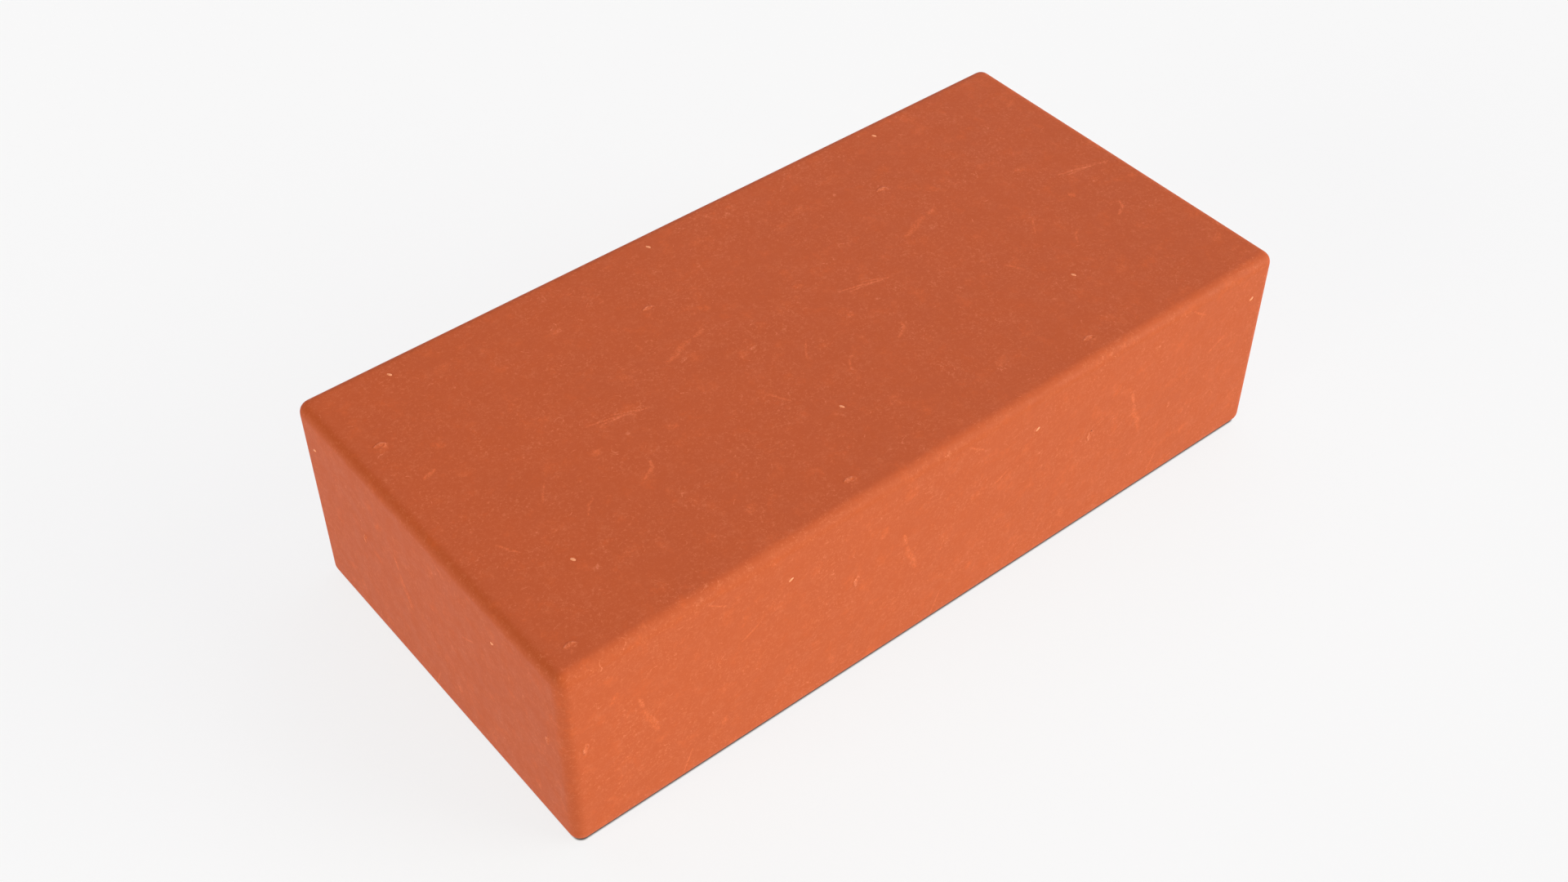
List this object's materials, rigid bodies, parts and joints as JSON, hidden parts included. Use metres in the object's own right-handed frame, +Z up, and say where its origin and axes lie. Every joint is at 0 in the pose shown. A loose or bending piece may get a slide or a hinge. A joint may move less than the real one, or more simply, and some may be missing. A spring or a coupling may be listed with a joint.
{
  "type": "detailing clay bar",
  "caption": "Plain rectangular bar of orange detailing clay with small rounded edges and pale grit in its skin, lying flat.",
  "frame": {"origin": "centre of the bar's underside, on the surface that it lies on", "axes": "+X along the bar's length, +Y across its width, +Z up through its height"},
  "size_m": [0.1002, 0.0496, 0.0265],
  "materials": {
    "clay": "matte terracotta-orange clay, faintly waxy, finely speckled and lightly smeared and scratched",
    "grit": "pale cream-pink mineral grains with a film of clay over them"
  },
  "bodies": {
    "root": {"clay_block": "clay", "grit_grains": "grit"}
  },
  "joints": []
}
